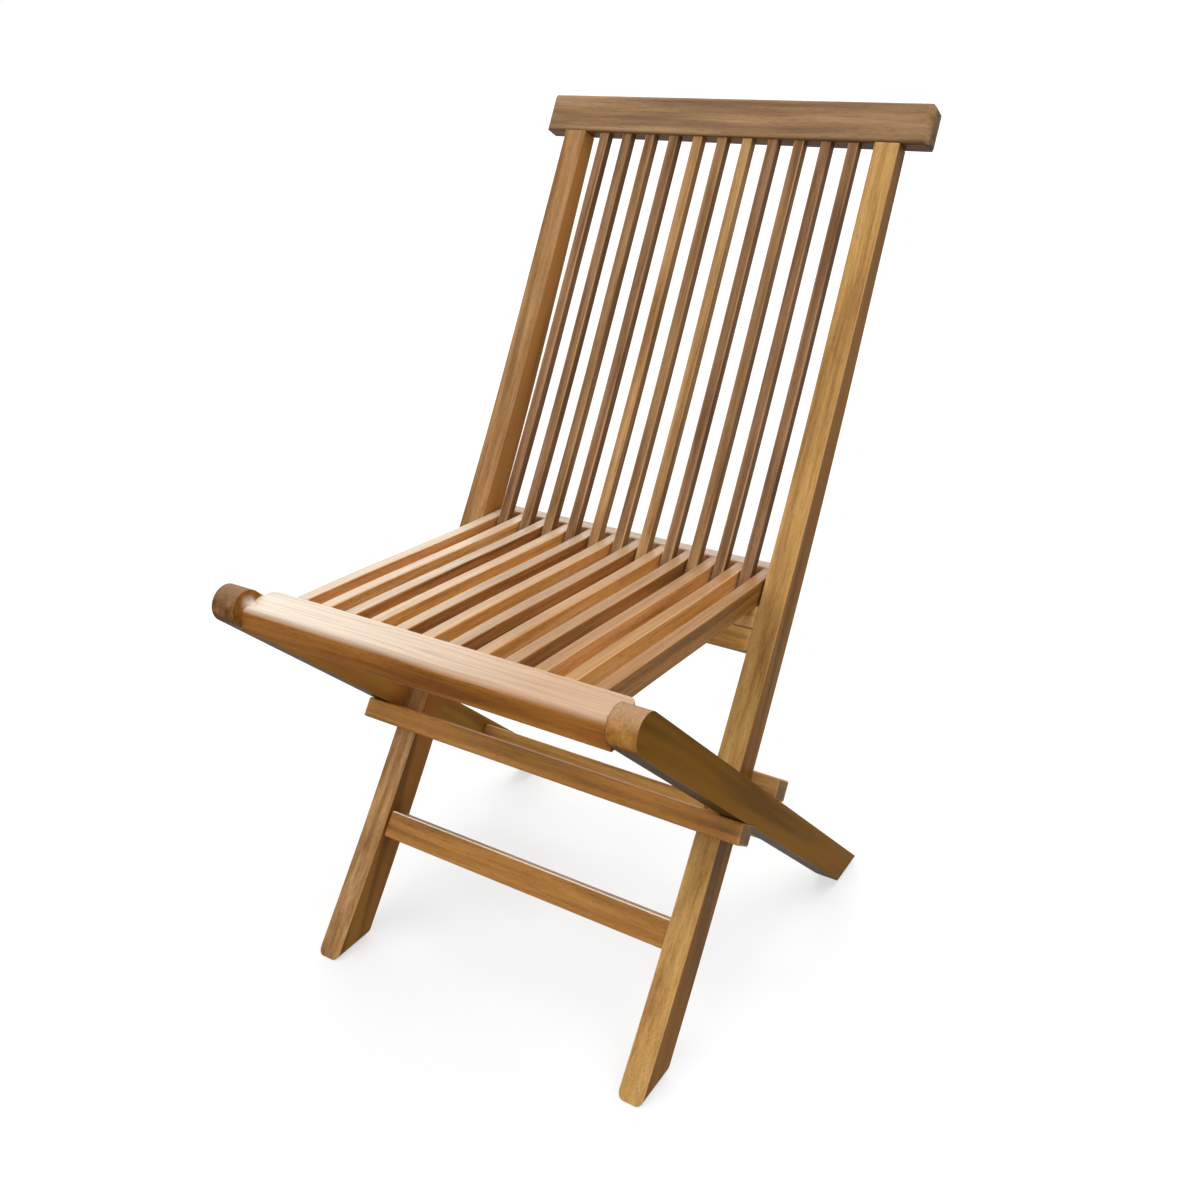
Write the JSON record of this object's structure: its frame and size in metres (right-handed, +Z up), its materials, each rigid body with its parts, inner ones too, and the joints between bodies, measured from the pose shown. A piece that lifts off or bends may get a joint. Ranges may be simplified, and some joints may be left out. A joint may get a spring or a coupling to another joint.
{
  "type": "folding chair",
  "caption": "Folding wooden chair with slatted seat, slatted leaning back, curved stiles and crossed rear legs; the seat slides up between the back slats as it folds.",
  "frame": {"origin": "on the floor, under the middle of the open chair's outer box", "axes": "+Z up; the chair faces -Y and its back leans towards +Y; +X is the sitter's left"},
  "size_m": [0.479, 0.6267, 0.88],
  "materials": {
    "stile_wood": "oiled satin",
    "top_rail_wood": "oiled satin",
    "rail_wood": "oiled satin",
    "leg_wood": "oiled satin",
    "back_slat_wood": "oiled satin",
    "seat_slat_wood": "oiled satin",
    "seat_rail_wood": "oiled satin",
    "pin_brass": "turned"
  },
  "bodies": {
    "back_frame": {"right_stile": "stile_wood", "left_stile": "stile_wood", "top_rail": "top_rail_wood", "lower_back_rail": "rail_wood", "seat_rest": "rail_wood", "front_stretcher": "rail_wood", "back_slat_1": "back_slat_wood", "back_slat_2": "back_slat_wood", "back_slat_3": "back_slat_wood", "back_slat_4": "back_slat_wood", "back_slat_5": "back_slat_wood", "back_slat_6": "back_slat_wood", "back_slat_7": "back_slat_wood", "back_slat_8": "back_slat_wood", "back_slat_9": "back_slat_wood", "back_slat_10": "back_slat_wood", "back_slat_11": "back_slat_wood"},
    "rear_legs": {"right_rear_leg": "leg_wood", "left_rear_leg": "leg_wood", "front_cross_rail": "rail_wood", "rear_cross_rail": "rail_wood", "rear_stretcher": "rail_wood", "leg_pivot_pins": "pin_brass"},
    "seat": {"seat_front_rail": "seat_rail_wood", "seat_rear_rail": "seat_rail_wood", "seat_slat_1": "seat_slat_wood", "seat_slat_2": "seat_slat_wood", "seat_slat_3": "seat_slat_wood", "seat_slat_4": "seat_slat_wood", "seat_slat_5": "seat_slat_wood", "seat_slat_6": "seat_slat_wood", "seat_slat_7": "seat_slat_wood", "seat_slat_8": "seat_slat_wood", "seat_slat_9": "seat_slat_wood", "seat_slat_10": "seat_slat_wood", "seat_slat_11": "seat_slat_wood", "seat_slat_12": "seat_slat_wood", "seat_pivot_pins": "pin_brass"}
  },
  "joints": [
    {"name": "fold", "type": "hinge", "parent": "back_frame", "child": "rear_legs", "pos_m": [0, -0.06452, 0.23083], "axis": [-1, 0, 0], "range_deg": [0, 68]},
    {"name": "seat_pivot", "type": "hinge", "parent": "rear_legs", "child": "seat", "pos_m": [0, -0.29456, 0.4385], "axis": [1, 0, 0], "range_deg": [0, 114.3]}
  ],
  "couplings": [
    {"joint": "seat_pivot", "follows": "fold", "ratio": 1.68}
  ]
}
